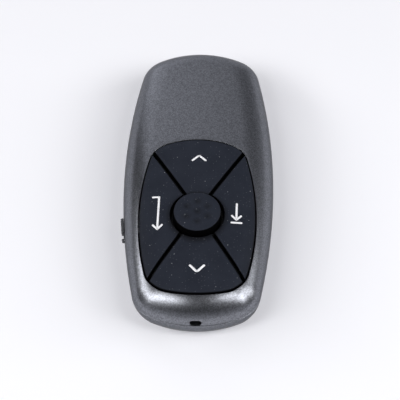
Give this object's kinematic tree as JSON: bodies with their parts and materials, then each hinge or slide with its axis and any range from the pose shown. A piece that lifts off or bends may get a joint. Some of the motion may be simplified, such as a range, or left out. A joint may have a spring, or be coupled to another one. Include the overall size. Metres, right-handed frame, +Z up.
{
  "type": "wireless presentation clicker",
  "caption": "Pebble-shaped handheld presenter with a quartered key panel round a raised laser button, a side power slider, a battery door and a stowed USB receiver.",
  "frame": {"origin": "centre of the flat base, below the widest point of the case, on the battery door's outer face", "axes": "+Y along the case towards the laser end, +X to the right as seen from above with the laser pointing away, +Z up through the keys"},
  "size_m": [0.0453, 0.1, 0.0211],
  "materials": {
    "case_paint": "satin metallic paint on moulded plastic",
    "soft_touch": "soft-touch coat on moulded plastic",
    "black_plastic": "fine moulded texture",
    "circuit_green": "solder mask over glass fibre",
    "chip_black": "moulded package",
    "ceramic_parts": "matt ceramic",
    "white_plastic": "moulded",
    "tan_sheet": "thin film",
    "nickel": "nickel plate",
    "steel": "plain screw steel",
    "gold": "thin gold plate",
    "brass": "turned",
    "lens_glass": "clear",
    "window_red": "red tinted, clear",
    "cell_label": "printed film over a metal can"
  },
  "bodies": {
    "case": {"top_case": "case_paint", "bottom_case": "case_paint", "inner_frame": "black_plastic", "key_frame": "black_plastic", "up_switch": "nickel", "down_switch": "nickel", "enter_switch": "nickel", "tab_switch": "nickel", "laser_switch": "nickel", "circuit_board": "circuit_green", "controller_chip": "chip_black", "crystal": "nickel", "board_antenna": "gold", "chip_parts": "ceramic_parts", "insulating_sheet": "tan_sheet", "board_screws": "steel", "case_screws": "steel", "power_switch": "nickel", "laser_barrel": "brass", "laser_lens": "lens_glass", "laser_diode": "gold", "laser_driver_board": "circuit_green", "laser_cradle": "black_plastic", "laser_window": "window_red", "battery_left": "cell_label", "battery_right": "cell_label", "spring_left": "nickel", "spring_right": "nickel", "contact_positive": "nickel", "contact_negative": "nickel", "contact_bridge": "nickel"},
    "up": {"up_key": "soft_touch", "up_plunger": "black_plastic"},
    "down": {"down_key": "soft_touch", "down_plunger": "black_plastic"},
    "enter": {"enter_key": "soft_touch", "enter_plunger": "black_plastic"},
    "tab": {"tab_key": "soft_touch", "tab_plunger": "black_plastic"},
    "laser": {"laser_button": "soft_touch", "laser_plunger": "black_plastic"},
    "slider": {"power_slider": "black_plastic", "power_switch_lever": "black_plastic"},
    "door": {"battery_door": "case_paint"},
    "receiver": {"receiver_grip": "black_plastic", "receiver_plug": "nickel", "receiver_tongue": "white_plastic", "receiver_contacts": "gold"}
  },
  "joints": [
    {"name": "up_key_press", "type": "slide", "parent": "case", "child": "up", "axis": [0, 0, -1], "range_m": [0, 0.0004], "stiffness_N_per_m": 2000, "springref_m": -0.0003},
    {"name": "down_key_press", "type": "slide", "parent": "case", "child": "down", "axis": [0, 0, -1], "range_m": [0, 0.0004], "stiffness_N_per_m": 2000, "springref_m": -0.0003},
    {"name": "enter_key_press", "type": "slide", "parent": "case", "child": "enter", "axis": [0, 0, -1], "range_m": [0, 0.0004], "stiffness_N_per_m": 2000, "springref_m": -0.0003},
    {"name": "tab_key_press", "type": "slide", "parent": "case", "child": "tab", "axis": [0, 0, -1], "range_m": [0, 0.0004], "stiffness_N_per_m": 2000, "springref_m": -0.0003},
    {"name": "laser_button_press", "type": "slide", "parent": "case", "child": "laser", "axis": [0, 0, -1], "range_m": [0, 0.0004], "stiffness_N_per_m": 2000, "springref_m": -0.0003},
    {"name": "power_slide", "type": "slide", "parent": "case", "child": "slider", "axis": [-0.0885, 0.9961, 0], "range_m": [0, 0.002]},
    {"name": "battery_door_hinge", "type": "hinge", "parent": "case", "child": "door", "pos_m": [0, 0.017, 0], "axis": [1, 0, 0], "range_deg": [0, 60]},
    {"name": "receiver_slide", "type": "slide", "parent": "case", "child": "receiver", "axis": [0, 1, 0], "range_m": [0, 0.02]}
  ]
}
